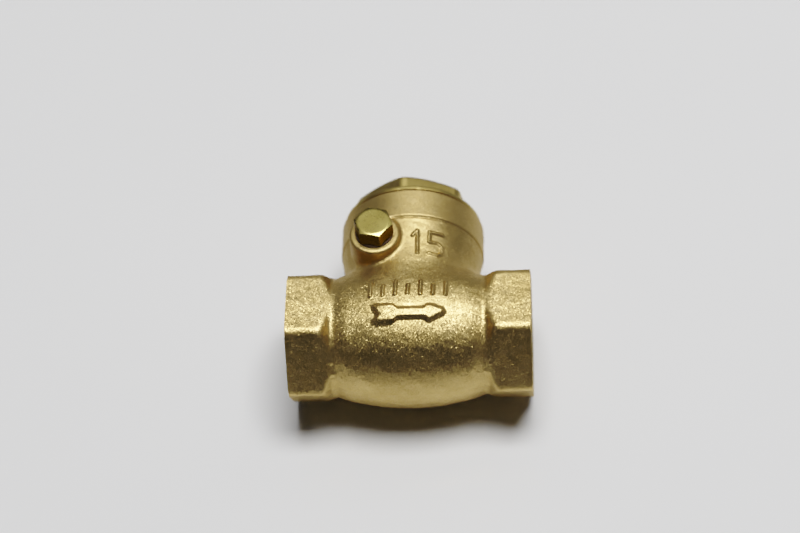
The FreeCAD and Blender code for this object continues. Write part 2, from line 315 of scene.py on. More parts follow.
def tidy(ob, angle=32.0, merge=0.004):
    """Welds slivers, shades smooth and keeps real edges sharp."""
    bm = bmesh.new()
    bm.from_mesh(ob.data)
    bmesh.ops.remove_doubles(bm, verts=bm.verts, dist=merge * MM)
    bmesh.ops.dissolve_degenerate(bm, dist=0.001 * MM, edges=bm.edges)
    lim = math.radians(angle)
    for e in bm.edges:
        e.smooth = not (len(e.link_faces) == 2 and e.calc_face_angle(0) > lim)
    for fc in bm.faces:
        fc.smooth = True
    bm.to_mesh(ob.data)
    bm.free()
    ob.data.update()
    return ob


# ------------------------------------------------------------------ valve body: the casting
ARC = (13.0 ** 2 + 1.76 ** 2) / (2 * 1.76)
_bx = np.linspace(0, 26, 521)
_br = np.where(_bx < 13, 14.86 - (ARC - np.sqrt(np.maximum(ARC ** 2 - np.minimum(_bx, 13) ** 2, 0))),
               np.interp(_bx, [13, 15.3, 15.9, 26], [13.1, 12.3, 12.12, 12.1]))
_br = np.convolve(np.pad(_br, 14, mode="edge"), np.ones(29) / 29, "valid")
_nz = np.linspace(-6, 29, 701)
_nr = np.interp(_nz, [-6, 12, 14, 16, 18, 19.3, 19.65, 19.9, 20.05, 20.3, 20.7, 29], [13.7, 13.75, 13.9, 14.2, 14.56, 14.74, 14.84, 14.66, 14.72, 15.07, 15.05, 15.05])
_nr = np.convolve(np.pad(_nr, 3, mode="edge"), np.ones(7) / 7, "valid")

ARROW_TOP = [(-6.1, -3.45), (-4.37, -3.32), (-2.9, -3.3), (-2.0, -4.3), (3.61, -4.3), (4.24, -3.5),
             (7.14, -4.25), (4.46, -5.75), (4.05, -5.2), (-2.01, -5.25), (-2.76, -5.95), (-5.84, -5.69),
             (-4.95, -4.8)]
ARROW_BASE = [(-7.63, -2.73), (-7.39, -2.05), (-6.66, -1.75), (-2.81, -2.14), (-2.05, -2.86), (3.46, -2.86),
              (3.84, -2.2), (5.17, -2.15), (7.72, -2.95), (8.21, -4.01), (7.7, -5.0), (4.65, -6.57),
              (3.81, -6.49), (3.32, -5.95), (-2.05, -5.95), (-2.57, -6.6), (-3.55, -6.95), (-6.78, -7.0),
              (-7.63, -6.2), (-7.55, -5.2), (-6.75, -4.9), (-6.6, -4.5), (-7.35, -3.6)]


def rounded(pts, r):
    """The outline with each corner eased by a short curve."""
    out = []
    for i, p in enumerate(pts):
        p = np.array(p)
        ends = []
        for q in (pts[i - 1], pts[(i + 1) % len(pts)]):
            v = np.array(q) - p
            n = float(np.hypot(*v))
            ends.append(p + v / n * min(r, 0.42 * n))
        out += [tuple(ends[0]), tuple(0.25 * ends[0] + 0.5 * p + 0.25 * ends[1]), tuple(ends[1])]
    return out


ARROW_TOP, ARROW_BASE = rounded(ARROW_TOP, 0.3), rounded(ARROW_BASE, 0.35)


def relief(x, z):
    """Height of the raised cast marks on the front: flow arrow, a plain bore number and a row of plain bars."""
    h = np.zeros(np.shape(x))
    near = (np.abs(x) < 10.5) & (z > -8.5) & (z < 19.5)
    if not near.any():
        return h
    xs, zs = x[near], z[near]
    top, base = polygon(xs, zs, ARROW_TOP), polygon(xs, zs, ARROW_BASE)
    a = np.clip(-base, 0, None) / (np.clip(-base, 0, None) + np.clip(top, 0, None) + 1e-6)
    out = 0.72 * sstep(a)
    # a row of seven plain bars, long and short by turns
    d = np.full(xs.shape, 9.0)
    for i in range(7):
        cx = -7.5 + i * 2.55
        tall = i % 2 == 0
        z0, z1 = (-0.2, 3.15) if tall else (-0.2, 2.1)
        d = np.minimum(d, segment(xs, zs, (cx, z0), (cx + 0.1, z1)) - 0.3)
    out = np.maximum(out, 0.42 * sstep(0.5 - d / 0.65))
    # the nominal bore, 15, in plain strokes
    d = np.minimum(segment(xs, zs, (1.9, 11.2), (1.9, 16.6)), segment(xs, zs, (1.9, 16.6), (0.9, 15.5)))
    for p, q in (((7.0, 16.5), (4.4, 16.5)), ((4.4, 16.5), (4.25, 14.2)), ((4.25, 14.2), (5.9, 14.3)),
                 ((5.9, 14.3), (6.9, 13.6)), ((6.9, 13.6), (6.9, 12.2)), ((6.9, 12.2), (5.9, 11.3)),
                 ((5.9, 11.3), (4.2, 11.5))):
        d = np.minimum(d, segment(xs, zs, p, q))
    out = np.maximum(out, 0.38 * sstep(0.5 - (d - 0.26) / 0.7))
    h[near] = out
    return h


def casting(x, y, z):
    ax, rx, rz = np.abs(x), np.hypot(y, z), np.hypot(x, y)
    barrel = (rx - np.interp(ax, _bx, _br)) * 0.985
    neck = smax((rz - np.interp(z, _nz, _nr)) * 0.985, -z - 2.0, 1.0)
    neck = smax(neck, z - 27.6, 0.3)
    body = smin(barrel, neck, 1.9)
    hexa = hexagon(z, y, HEX_AF / 2 - HEX_R) - HEX_R
    cone = (rx - HEX_APEX + (HEX_CX - ax)) * 0.70711
    hexa = smax(hexa, cone, 0.55)
    body = smax(smin(body, hexa, 0.7), ax - 25.6, 0.1)
    rb = np.hypot(x - PIN_X, z - PIN_Z)
    # the boss for the plug, and a low one behind for the pin's blind end
    c, m = 0.75, -9.0
    qx, qy = rb - (BOSS_R - c), BOSS_Y + c - y
    boss = np.hypot(np.maximum(qx, 0), np.maximum(qy, 0)) + np.minimum(np.maximum(qx, qy), 0) - c
    boss = smax(boss, y - m, 0.5)
    body = smin(body, boss, 1.1)
    qx, qy = rb - (4.2 - c), y - (13.75 - c)
    boss = np.hypot(np.maximum(qx, 0), np.maximum(qy, 0)) + np.minimum(np.maximum(qx, qy), 0) - c
    boss = smax(boss, 9.0 - y, 0.5)
    body = smin(body, boss, 1.1)
    front = (y < -5)
    h = np.zeros(np.shape(x))
    if np.any(front):
        h[front] = relief(x[front], z[front])
    # parting line of the two die halves, dressed almost flush, with small pips beside the hexagons
    line = 0.07 * np.exp(-(y / 0.35) ** 2) * ((rz > 12.5) | (z < 5)) * (z < 19.5)
    pip = 0.0
    for sx in (-1, 1):
        for py, pz in ((-3.6, -11.6), (-6.2, -10.4), (0.6, -12.2), (4.2, -11.4)):
            pip = pip + 0.28 * np.exp(-(((x - sx * 15.75) / 0.42) ** 2 + ((y - py) / 0.5) ** 2 + ((z - pz) / 0.6) ** 2))
    rough = 0.045 * wobble(x, y, z, 7.0, 5) + 0.02 * wobble(x, y, z, 2.6, 9)
    return body - h - line - pip - rough * (z < 20.2)


def build_body():
    ob = field_mesh("valve_body_cast", casting, (-26.0, -16.6, -15.8), (26.0, 16.0, 28.2), 0.34)

    def pick(c, k):
        front = (c[:, 1] < -9) & (np.abs(c[:, 0]) < 9.5) & (c[:, 2] > -8) & (c[:, 2] < 18)
        fc = relief(c[:, 0], c[:, 2])
        near = np.zeros(len(c), bool)
        for dx, dz in ((0.35, 0), (-0.35, 0), (0, 0.35), (0, -0.35), (0, 0)):
            v = relief(c[:, 0] + dx, c[:, 2] + dz)
            near |= np.abs(v - fc) > 0.01
            near |= (v > 0.01) & (v < 0.7) & (k == 0)
        if k == 0:
            edge = (np.abs(c[:, 2] - 20.0) < 0.5) & (np.hypot(c[:, 0], c[:, 1]) > 14.2)
            return (front & near) | edge
        return front & near
    refine(ob, casting, pick, 2)
    return ob


def core(x, y, z):
    """The cast cavity: chamber round the disc, upright pocket and neck, less the hinge lugs and the seat lip."""
    rx = np.hypot(y, z)
    ch = (rx - np.interp(x, [-9.6, -8.0, -5.0, -1.0, 1.5, 4, 8, 10.6, 12.6, 13],
                         [9.4, 10.7, 11.5, 12.05, 12.15, 12.05, 11.45, 10.7, 9.2, 8.4])) * 0.95
    ch = smax(ch, WALL_X - x, 0.5)
    ch = smax(ch, x - 12.9, 0.4)
    po = smax(np.hypot(x - 2.2, y) - 9.4, np.abs(z - 5.2) - 5.2, 0.4)
    nb = smax(np.hypot(x, y) - 11.8, np.abs(z - 14.9) - 5.3, 0.3)
    d = smin(smin(ch, po, 0.6), nb, 0.6)
    rb = np.hypot(x - PIN_X, z - PIN_Z)
    lug = smax(rb - 3.3, 7.1 - np.abs(y), 0.25)
    d = smax(d, -lug, 0.5)
    lip = smax(rx - LIP_R, x - SEAT_X - 0.15, 0.15)
    return smax(d, -lip, 0.35)


def assemble_body():
    ob = build_body()
    tools = []
    tools.append(field_mesh("t", core, (-12.8, -13.2, -13.0), (13.8, 13.2, 21.0), 0.4))
    # end faces, dressed flat, with a small chamfer on the hexagon's corners
    for s in (-1, 1):
        tools.append(lathe("t", "X", (0, 0, 0), [(s * 25.0, 13.72), (s * 24.45, 14.9), (s * 24.45, 18), (s * 27, 18)], 160))
        # threaded socket: mouth chamfer, thread, short relief, then the port behind it
        rings = [(s * 25.8, MOUTH + 0.8), (s * (25.0 - 1e-3), MOUTH)]
        rings += thread_rings(s * 24.9, s * (HALF - DEPTH + 0.9), CREST, ROOT, PITCH, True, 160, 14, (0.45, 0.45),
                              lambda q: MOUTH - (HALF - abs(q)))
        rings += [(s * (HALF - DEPTH + 0.5), CREST), (s * (HALF - DEPTH + 0.05), CREST - 0.1), (s * (HALF - DEPTH), CREST - 0.35)]
        tools.append(lathe("t", "X", (0, 0, 0), rings, 160))
    tools.append(lathe("t", "X", (0, 0, 0), [(-14.5, PORT_R + 0.4), (-14.0, PORT_R + 0.4), (-13.6, PORT_R), (SEAT_X - 0.2, PORT_R),
                                             (SEAT_X, PORT_R + 0.2), (SEAT_X, LIP_R - 0.15), (SEAT_X - 0.2, LIP_R + 0.1),
                                             (SEAT_X - 0.2, LIP_R + 0.8), (SEAT_X + 1, LIP_R + 0.8)], 128))
    tools.append(lathe("t", "X", (0, 0, 0), [(12.0, OUT_R), (13.7, OUT_R), (14.5, OUT_R + 0.5)], 128))
    # rim of the neck and its threaded bore
    tools.append(lathe("t", "Z", (0, 0, 0), [(RIM_Z, 14.78), (RIM_Z - 0.45, 15.3), (RIM_Z - 0.45, 17), (29, 17)], 192))
    rings = [(RIM_Z + 0.8, 14.1), (RIM_Z, 13.3)]
    rings += thread_rings(RIM_Z - 0.1, 20.0, B_CREST, B_ROOT, B_PITCH, True, 192, 14, (0.4, 0.5),
                          lambda q: 13.3 - (RIM_Z - q))
    rings += [(19.7, B_CREST), (19.4, 11.75)]
    tools.append(lathe("t", "Z", (0, 0, 0), rings, 192))
    # pin hole, and the plug's threaded hole in the boss
    at = (PIN_X, 0, PIN_Z)
    tools.append(lathe("t", "Y", at, [(-12.6, 1.53), (12.35, 1.53)], 48))
    rings = [(BOSS_Y - 0.6, 3.7), (BOSS_Y, 3.15)]
    rings += thread_rings(BOSS_Y + 0.08, -12.3, 2.5, 3.0, 1.0, True, 64, 12, (0.4, 0.5), lambda q: 3.15 - (q - BOSS_Y))
    rings += [(-12.0, 2.5), (-11.7, 1.5)]
    tools.append(lathe("t", "Y", at, rings, 64))
    for t in tools:
        cut(ob, t)
    tidy(ob, 34)
    # finish zones: casting outside, machined where tools cut, casting again in the cored cavity
    n = len(ob.data.polygons)
    c = np.empty(n * 3)
    ob.data.polygons.foreach_get("center", c)
    c = c.reshape(-1, 3) / MM
    x, y, z = c.T
    zone = np.zeros(n, int)
    inner = casting(x, y, z) < -0.03
    zone[inner] = 1
    zone[inner & (np.abs(core(x, y, z)) < 0.08) & (np.abs(x) < 13.2)] = 2
    ob.data.polygons.foreach_set("material_index", zone)
    return ob


# ------------------------------------------------------------------ bonnet
def cap_top(x, y, z):
    """Flange and hexagon, forged in one, with soft edges."""
    rz = np.hypot(x, y)
    a = math.radians(CAP_TURN)
    # u along the front corner's direction, w across it
    u, w = x * math.sin(a) - y * math.cos(a), x * math.cos(a) + y * math.sin(a)
    c = 0.3
    fl = smax(rz - (FLANGE_R - c), np.abs(z - (CAP_FL0 + CAP_FL1) / 2) - ((CAP_FL1 - CAP_FL0) / 2 - c), 0.2) - c
    r = 2.2
    hx = hexagon(u, w, CAP_AF / 2 - r) - r
    hx = smax(hx, z - CAP_TOP, 0.35)
    cone = (rz - 10.9 + (z - CAP_TOP) * 2.0) * 0.447
    hx = smax(hx, cone, 0.5)
    hx = smax(hx, CAP_FL0 + 0.3 - z, 0.2)
    # shallow turned dimple in the middle of the top, left by the centre
    d = smin(fl, hx, 0.45)
    d = smax(d, -(np.sqrt(rz * rz + (z - CAP_TOP - 3.3) ** 2) - 3.75), 0.25)
    return d - 0.02 * wobble(x, y, z, 6.0, 21)


def build_cap():
    ob = field_mesh("bonnet_cap_forged", cap_top, (-15.6, -15.6, 26.6), (15.6, 15.6, 34.4), 0.26)
    # underside of the flange cut flat, then the shank with its thread, and the hollow
    cut(ob, lathe("t", "Z", (0, 0, 0), [(CAP_FL0, 14.35), (CAP_FL0 + 0.25, 14.8), (CAP_FL0 + 0.25, 17), (24, 17)], 160))
    rings = [(CAP_FL0 + 0.4, 12.05), (26.35, 12.05)]
    rings += thread_rings(26.2, 20.75, 12.92, 12.1, B_PITCH, False, 192, 14, (0.5, 0.6),
                          lambda q: 12.2 + (q - 20.6))
    rings += [(20.6, 12.15)]
    cut(ob, lathe("t", "Z", (0, 0, 0), rings, 192), "UNION")
    cut(ob, lathe("t", "Z", (0, 0, 0), [(20, 10.3), (20.6, 10.3), (21.0, 9.9), (24.3, 9.9), (25.3, 9.45), (26.2, 8.5),
                                        (26.6, 7.0), (26.9, 3.0)], 128))
    tidy(ob, 34)
    n = len(ob.data.polygons)
    c = np.empty(n * 3)
    ob.data.polygons.foreach_get("center", c)
    z = c.reshape(-1, 3)[:, 2] / MM
    ob.data.polygons.foreach_set("material_index", (z < CAP_FL0 + 0.02).astype(int))
    return ob


# ------------------------------------------------------------------ hinge-pin plug
PLUG_S, PLUG_H = BOSS_Y - 0.4, BOSS_Y - 3.9


def plug_head(x, y, z):
    a = math.radians(19.4)
    dx, dz = x - PIN_X, z - PIN_Z
    # corners are counted from up, turning about -Y
    u, w = dz * math.cos(a) - dx * math.sin(a), dz * math.sin(a) + dx * math.cos(a)
    r = 0.22
    hx = hexagon(u, w, 3.6 - r) - r
    hx = smax(hx, PLUG_H - y, 0.25)
    rb = np.hypot(dx, dz)
    cone = (rb - 3.2 - (y - PLUG_H) * 3.0) * 0.316
    hx = smax(hx, cone, 0.1)
    hx = smax(hx, y - PLUG_S, 0.08)
    foot = (rb - 3.95 + (y - PLUG_S) * 0.8) * 0.78
    return smax(hx, foot, 0.1)


def build_plug():
    ob = field_mesh("pin_plug_turned", plug_head, (-11.5, -20.0, 10.6), (-1.8, -15.2, 20.3), 0.13)
    rings = [(PLUG_S - 0.2, 2.5), (PLUG_S + 0.55, 2.5)]
    rings += thread_rings(PLUG_S + 0.6, -12.3, 2.95, 2.45, 1.0, False, 64, 12, (0.4, 0.6), lambda q: 2.4 - (q + 12.2))
    rings += [(-12.15, 2.35)]
    cut(ob, lathe("t", "Y", (PIN_X, 0, PIN_Z), rings, 64), "UNION")
    return tidy(ob, 34)


# ------------------------------------------------------------------ turned and small parts
def soften(pts, r, closed=False, n=3):
    """Rounds the corners of an outline of (s, r) points."""
    out, m = [], len(pts)
    for i, p in enumerate(pts):
        if not closed and i in (0, m - 1):
            out.append(p)
            continue
        a, b, c = (np.array(q, float) for q in (pts[i - 1], p, pts[(i + 1) % m]))
        u, v = a - b, c - b
        lu, lv = np.linalg.norm(u), np.linalg.norm(v)
        k = min(r, lu * 0.45, lv * 0.45)
        p0, p1 = b + u / lu * k, b + v / lv * k
        for t in np.linspace(0, 1, n + 1):
            out.append(tuple((1 - t) ** 2 * p0 + 2 * t * (1 - t) * b + t * t * p1))
    return out


def ring(name, axis, centre, loop, n=96, uneven=0.0):
    """A turned part with a hole through it, from a closed outline of (s, r) points."""
    a, b, c = (np.array(k, float) for k in AXES[axis])
    th = np.arange(n) * 2 * math.pi / n
    wave = uneven * (np.sin(5 * th + 1) + np.sin(11 * th) * 0.6 + np.sin(23 * th + 2) * 0.4)
    mid = np.mean([p[1] for p in loop])
    rows = []
    for s, r in loop:
        rr = r + wave * (1 if r > mid else -1)
        rows.append(np.array(centre) + s * a + rr[:, None] * (np.cos(th)[:, None] * b + np.sin(th)[:, None] * c))
    m = len(rows)
    j = np.arange(n)
    k = (j + 1) % n
    faces = []
    for i in range(m):
        i2 = (i + 1) % m
        faces += np.stack([i * n + j, i * n + k, i2 * n + k, i2 * n + j], 1).tolist()
    ob = mesh_object(name, np.concatenate(rows), faces)
    bm = bmesh.new()
    bm.from_mesh(ob.data)
    bmesh.ops.recalc_face_normals(bm, faces=bm.faces)
    bm.to_mesh(ob.data)
    bm.free()
    return tidy(ob, 50)


def box_tool(lo, hi):
    p = [(x, y, z) for x in (lo[0], hi[0]) for y in (lo[1], hi[1]) for z in (lo[2], hi[2])]
    return mesh_object("t", p, [(0, 1, 3, 2), (4, 6, 7, 5), (0, 4, 5, 1), (2, 3, 7, 6), (0, 2, 6, 4), (1, 5, 7, 3)])


def rect(s0, s1, r0, r1, k):
    return soften([(s0, r0), (s0, r1), (s1, r1), (s1, r0)], k, True)


def arm_field(x, y, z):
    """Hinge hub, bent link and the ring the stud goes through, cast in one."""
    rb = np.hypot(x - PIN_X, z - PIN_Z)
    c = 0.35
    hub = smax(rb - (2.6 - c), np.abs(y) - (6.4 - c), 0.2) - c
    ay = np.abs(y)
    c = 0.45
    link = polygon(x, z, [(PIN_X - 0.45, 14.64), (-4.65, 9.05), (-4.65, 3.0), (-3.95, 3.0), (-3.95, 9.6), (PIN_X + 1.55, 14.39)])
    link = smax(link, ay - (2.6 - c), 0.25) - c
    rg = smax(np.hypot(y, z) - (3.6 - 0.3), np.abs(x + 4.3) - (0.8 - 0.3), 0.2) - 0.3
    d = smin(smin(hub, link, 0.8), rg, 0.5)
    d = smax(d, -5.1 - x - np.where(z > 8.0, (z - 8.0) * 1.2, 0), 0.05)
    d = smax(d, np.where(z < 8.5, x + 3.5, -9.0), 0.05)
    return d - 0.03 * wobble(x, y, z, 4.0, 33)


def build_arm():
    ob = field_mesh("hanger_arm_cast", arm_field, (-10.2, -7.6, -4.4), (-1.6, 7.6, 18.8), 0.2)
    cut(ob, lathe("t", "Y", (PIN_X, 0, PIN_Z), [(-8, 1.55), (8, 1.55)], 64))
    for s in (-1, 1):
        cut(ob, lathe("t", "Y", (PIN_X, 0, PIN_Z), [(s * 6.1, 1.5), (s * 6.38, 1.8), (s * 7.0, 2.4)], 64))
    cut(ob, lathe("t", "X", (0, 0, 0), [(-6.5, 2.6), (-5.05, 2.35), (-4.8, 2.09), (-3.8, 2.09), (-3.55, 2.35), (-2, 3.2)], 64))
    return tidy(ob, 34)


def build_disc():
    rings = soften([(-4.6, 1.45), (-6.5, 1.45), (-6.5, 7.93), (-7.3, 7.93), (-7.3, 8.5), (-5.2, 8.5),
                    (-5.2, 7.3), (-5.32, 7.1), (-5.32, 5.4), (-5.2, 5.2), (-5.2, 2.0), (-3.3, 2.0)], 0.22)
    rings += thread_rings(-3.2, -0.3, 2.0, 1.72, 0.7, False, 96, 12, (0.8, 0.4), lambda q: 2.0 - max(0, q + 0.6))
    rings += [(-0.25, 1.6)]
    return tidy(lathe("disc_turned", "X", (0, 0, 0), rings, 96), 40)


def build_screw():
    rings = soften([(-10.3, 0.4), (-10.3, 1.5), (-10.15, 2.2), (-9.75, 2.6), (-8.8, 2.6), (-8.8, 1.6), (-8.7, 1.45),
                    (-4.9, 1.45), (-4.8, 1.2)], 0.25)
    ob = lathe("seal_screw_slotted", "X", (0, 0, 0), rings, 96)
    cut(ob, box_tool((-10.9, -4, -0.35), (-9.6, 4, 0.35)))
    return tidy(ob, 34)


def nut_field(x, y, z):
    h = smax(hexagon(y, z, 2.88) - 0.12, np.abs(x + 1.85) - 1.05, 0.08)
    r = np.hypot(y, z)
    return smax(smax(h, (r - 3.02 + (x + 0.8) * 0.9) * 0.74, 0.1), (r - 3.3 - (x + 2.9) * 0.9) * 0.74, 0.1)


def build_nut():
    ob = field_mesh("disc_nut_hex", nut_field, (-3.4, -4.0, -4.0), (-0.4, 4.0, 4.0), 0.14)
    cut(ob, lathe("t", "X", (0, 0, 0), [(-4, 2.9), (-2.9, 2.35), (-2.55, 2.02), (-1.15, 2.02), (-0.8, 2.35), (0, 3.1)], 64))
    return tidy(ob, 34)


# ------------------------------------------------------------------ materials
class Mat:
    """Builds one node material. Sockets are passed as values to link them."""

    def __init__(self, name):
        self.m = bpy.data.materials.new(name)
        self.m.use_nodes = True
        self.t = self.m.node_tree
        self.t.nodes.clear()
        self.pos = self.n("TexCoord").outputs["Object"]
        self.geo = self.n("NewGeometry")

    def n(self, kind, ins=None, **props):
        node = self.t.nodes.new("ShaderNode" + kind)
        for k, v in props.items():
            setattr(node, k, v)
        for k, v in (ins or {}).items():
            self.set(node.inputs[k], v)
        return node

    def set(self, socket, v):
        if isinstance(v, bpy.types.NodeSocket):
            self.t.links.new(v, socket)
        else:
            socket.default_value = v

    def math(self, op, a, b=0.0, c=0.0, clamp=False):
        return self.n("Math", {0: a, 1: b, 2: c}, operation=op, use_clamp=clamp).outputs[0]

    def vec(self, op, a, b=(0, 0, 0), scale=1.0):
        node = self.n("VectorMath", {0: a, 1: b}, operation=op)
        if op == "SCALE":
            self.set(node.inputs["Scale"], scale)
        return node.outputs["Value" if op in ("LENGTH", "DOT_PRODUCT", "DISTANCE") else "Vector"]

    def noise(self, size_mm, detail=2.0, rough=0.5, vector=None, out="Fac"):
        node = self.n("TexNoise", {"Vector": self.pos if vector is None else vector, "Scale": 1000.0 / size_mm,
                                   "Detail": detail, "Roughness": rough})
        return node.outputs[out]

    def cells(self, size_mm, out="Color", feature="F1", random=1.0):
        node = self.n("TexVoronoi", {"Vector": self.pos, "Scale": 1000.0 / size_mm, "Randomness": random}, feature=feature)
        return node.outputs[out]

    def range(self, v, a, b, c, d):
        return self.n("MapRange", {0: v, 1: a, 2: b, 3: c, 4: d}, clamp=True).outputs[0]

    def mix(self, fac, a, b):
        node = self.n("Mix", data_type="RGBA")
        self.set(node.inputs[0], fac)
        for s, v in ((node.inputs[6], a), (node.inputs[7], b)):
            self.set(s, v if isinstance(v, bpy.types.NodeSocket) else tuple(v) + (1.0,))
        return node.outputs[2]

    def gain(self, colour, v):
        """colour times the value v"""
        return self.vec("SCALE", colour, scale=v)

    def xyz(self):
        return self.n("SeparateXYZ", {0: self.pos}).outputs

    def tilt(self, strength, size_mm):
        """Normal turned a little at random from grain to grain."""
        off = self.vec("SUBTRACT", self.cells(size_mm), (0.5, 0.5, 0.5))
        # most grains lean a little, a few lean a lot
        lean = self.n("TexWhiteNoise", {"Vector": self.cells(size_mm, "Position")}).outputs["Value"]
        lean = self.math("MULTIPLY_ADD", self.math("POWER", lean, 4.0), 1.9, 0.8)
        off = self.vec("SCALE", self.vec("SCALE", off, scale=strength), scale=lean)
        return self.vec("NORMALIZE", self.vec("ADD", self.geo.outputs["Normal"], off))

    def bump(self, height, strength, mm, normal=None):
        ins = {"Height": height, "Strength": strength, "Distance": mm * MM}
        if normal is not None:
            ins["Normal"] = normal
        return self.n("Bump", ins).outputs[0]

    def turning(self, axis, line_mm=0.09):
        """Value that runs in fine lines round an axis, as a lathe tool leaves."""
        x, y, z = self.xyz()
        s, a, b = {"X": (x, y, z), "Y": (y, x, z), "Z": (z, x, y)}[axis]
        if axis == "Y":
            a, b = self.math("SUBTRACT", x, PIN_X * MM), self.math("SUBTRACT", z, PIN_Z * MM)
        r = self.math("SQRT", self.math("ADD", self.math("MULTIPLY", a, a), self.math("MULTIPLY", b, b)))
        v = self.n("CombineXYZ", {0: s, 1: r, 2: 0.0}).outputs[0]
        return self.noise(line_mm, 2.0, 0.6, vector=v)

    def done(self, **ins):
        b = self.n("BsdfPrincipled")
        for k, v in ins.items():
            k = k.replace("_", " ")
            if isinstance(v, tuple) and len(v) == 3:
                v = v + (1.0,)
            self.set(b.inputs[k], v)
        o = self.n("OutputMaterial")
        self.t.links.new(b.outputs[0], o.inputs[0])
        return self.m


BRASS = (0.635, 0.46, 0.18)
BRASS_DEEP = (0.55, 0.393, 0.145)
BRASS_PALE = (0.73, 0.56, 0.26)


def brass_cast():
    """Sand-blasted die casting: fine sparkling grain, worn smoother on the turned collar."""
    m = Mat("brass_cast")
    z = m.xyz()[2]
    collar = m.range(z, 0.0196, 0.0202, 0.0, 1.0)
    # the blast fades up the neck
    grain = m.math("SUBTRACT", m.range(z, 0.002, 0.012, 1.0, 0.62), m.math("MULTIPLY", collar, 0.2))
    cell = m.cells(0.18)
    shade = m.vec("DOT_PRODUCT", cell, (0.33, 0.33, 0.33))
    patch = m.range(m.noise(9.0, 3.0), 0.35, 0.68, 0.0, 1.0)
    fine = m.noise(1.6, 3.0)
    col = m.mix(patch, BRASS, BRASS_DEEP)
    col = m.mix(m.range(fine, 0.45, 0.75, 0.0, 0.35), col, BRASS_PALE)
    col = m.gain(col, m.range(shade, 0.15, 0.85, 0.89, 1.10))
    # painted shade darkening the concave corners, and bright worn edges
    point = m.geo.outputs["Pointiness"]
    col = m.mix(m.range(point, 0.40, 0.485, 0.4, 0.0), col, (0.16, 0.11, 0.05))
    col = m.mix(m.range(point, 0.53, 0.60, 0.0, 0.35), col, BRASS_PALE)
    # painted shade on faces turned down, such as under the boss
    nz = m.n("SeparateXYZ", {0: m.geo.outputs["Normal"]}).outputs[2]
    painted_shade_under = m.math("MULTIPLY", m.range(nz, -0.25, -0.85, 0.0, 0.6), m.range(z, 0.006, 0.009, 0.0, 1.0))
    col = m.mix(painted_shade_under, col, (0.24, 0.155, 0.05))
    # painted shade: the neck darkened, a little less on the collar
    col = m.gain(col, m.math("ADD", m.range(z, 0.011, 0.016, 1.0, 0.82), m.math("MULTIPLY", collar, 0.07)))
    n = m.tilt(m.math("MULTIPLY", grain, 0.27), 0.18)
    height = m.math("ADD", m.math("MULTIPLY", m.noise(0.5, 2.0, 0.6), 0.2), m.math("MULTIPLY", m.noise(0.18, 1.0), 0.3))
    n = m.bump(height, m.math("MULTIPLY", grain, 0.2), 0.05, n)
    n = m.bump(m.turning("Z", 0.16), m.math("MULTIPLY", collar, 0.16), 0.05, n)
    rough = m.math("ADD", m.range(m.noise(2.2, 2.0), 0.3, 0.7, 0.395, 0.465), m.range(z, 0.002, 0.012, 0.0, 0.07))
    return m.done(Base_Color=col, Metallic=1.0, Roughness=rough, Normal=n, Specular_Tint=(0.70, 0.69, 0.67))


def brass_turned(name, axis, base=BRASS_PALE, deep=BRASS, rough=(0.22, 0.34), line=0.09, strength=0.22):
    """Machined brass with fine tool lines and slight tarnish."""
    m = Mat(name)
    if axis == "XZ":
        up = m.range(m.xyz()[2], 0.0185, 0.0190, 0.0, 1.0)
        a, b = m.turning("X", line), m.turning("Z", line)
        lines = m.math("ADD", m.math("MULTIPLY", a, m.math("SUBTRACT", 1.0, up)), m.math("MULTIPLY", b, up))
    else:
        lines = m.turning(axis, line)
    patch = m.range(m.noise(5.0, 4.0), 0.38, 0.66, 0.0, 1.0)
    col = m.mix(patch, base, deep)
    col = m.gain(col, m.range(lines, 0.3, 0.7, 0.93, 1.06))
    # painted shade darkening the concave corners
    col = m.mix(m.range(m.geo.outputs["Pointiness"], 0.40, 0.48, 0.5, 0.0), col, (0.14, 0.10, 0.045))
    if axis == "Y":
        # painted shade: the wrench flats darkened, the crown is turned bright
        ny = m.math("ABSOLUTE", m.n("SeparateXYZ", {0: m.geo.outputs["Normal"]}).outputs[1])
        col = m.mix(m.range(ny, 0.25, 0.7, 0.9, 0.0), col, (0.115, 0.072, 0.022))
    n = m.bump(lines, strength, 0.03)
    n = m.bump(m.noise(1.2, 2.0), 0.08, 0.05, n)
    r = m.range(m.math("ADD", m.noise(1.5, 3.0), m.math("MULTIPLY", lines, 0.3)), 0.4, 0.95, rough[0], rough[1])
    return m.done(Base_Color=col, Metallic=1.0, Roughness=r, Normal=n, Specular_Tint=(0.4, 0.35, 0.25) if axis == "Y" else (0.85, 0.84, 0.82))


def brass_cored():
    """Rough skin of the cored cavity and of small inner castings."""
    m = Mat("brass_cored")
    col = m.mix(m.range(m.noise(3.0, 4.0), 0.35, 0.7, 0.0, 1.0), (0.50, 0.37, 0.155), (0.34, 0.245, 0.11))
    col = m.gain(col, m.range(m.vec("DOT_PRODUCT", m.cells(0.35), (0.33, 0.33, 0.33)), 0.1, 0.9, 0.85, 1.12))
    n = m.tilt(0.4, 0.35)
    n = m.bump(m.noise(0.7, 3.0, 0.6), 0.6, 0.16, n)
    return m.done(Base_Color=col, Metallic=1.0, Roughness=m.range(m.noise(1.4), 0.3, 0.7, 0.42, 0.58), Normal=n)


def steel():
    m = Mat("steel_ground")
    lines = m.turning("Y", 0.07)
    col = m.mix(m.range(m.noise(2.5, 3.0), 0.35, 0.7, 0.0, 1.0), (0.60, 0.59, 0.57), (0.50, 0.49, 0.48))
    col = m.gain(col, m.range(lines, 0.3, 0.7, 0.94, 1.05))
    n = m.bump(lines, 0.2, 0.02)
    return m.done(Base_Color=col, Metallic=1.0, Roughness=m.range(m.noise(0.9, 3.0), 0.3, 0.7, 0.2, 0.32), Normal=n)


